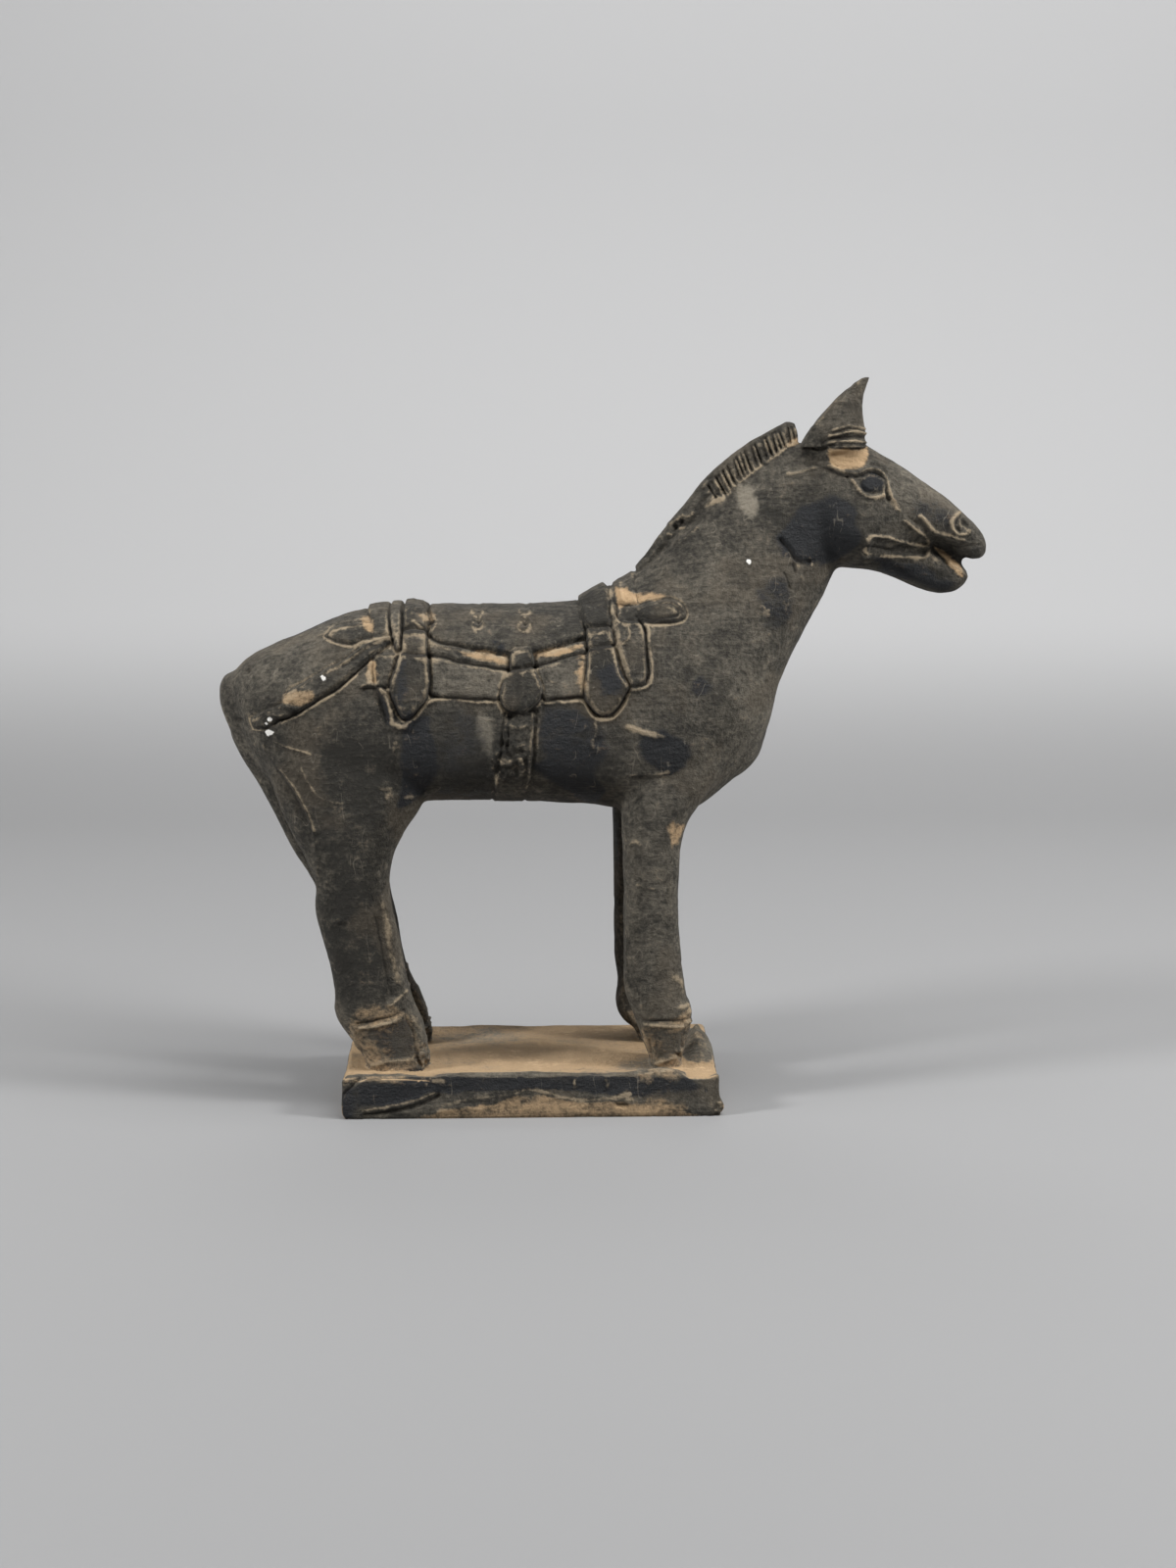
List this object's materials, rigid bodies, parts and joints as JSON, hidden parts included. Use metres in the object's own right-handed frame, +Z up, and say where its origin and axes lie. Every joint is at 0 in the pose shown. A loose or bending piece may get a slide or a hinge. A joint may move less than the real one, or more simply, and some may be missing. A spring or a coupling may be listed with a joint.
{
  "type": "clay horse figure",
  "caption": "Standing saddled clay horse with upright ears, cropped mane and open mouth, made in one piece with a flat rectangular slab base.",
  "frame": {"origin": "centre of the base's flat underside", "axes": "+X the way the horse faces, +Z up, +Y to the horse's left, which is the side away from the picture's camera"},
  "size_m": [0.2658, 0.073, 0.2509],
  "materials": {
    "fired_clay": "unglazed dark grey fired clay, matt, with tan dust in the hollows"
  },
  "bodies": {
    "root": {"clay_horse": "fired_clay"}
  },
  "joints": []
}
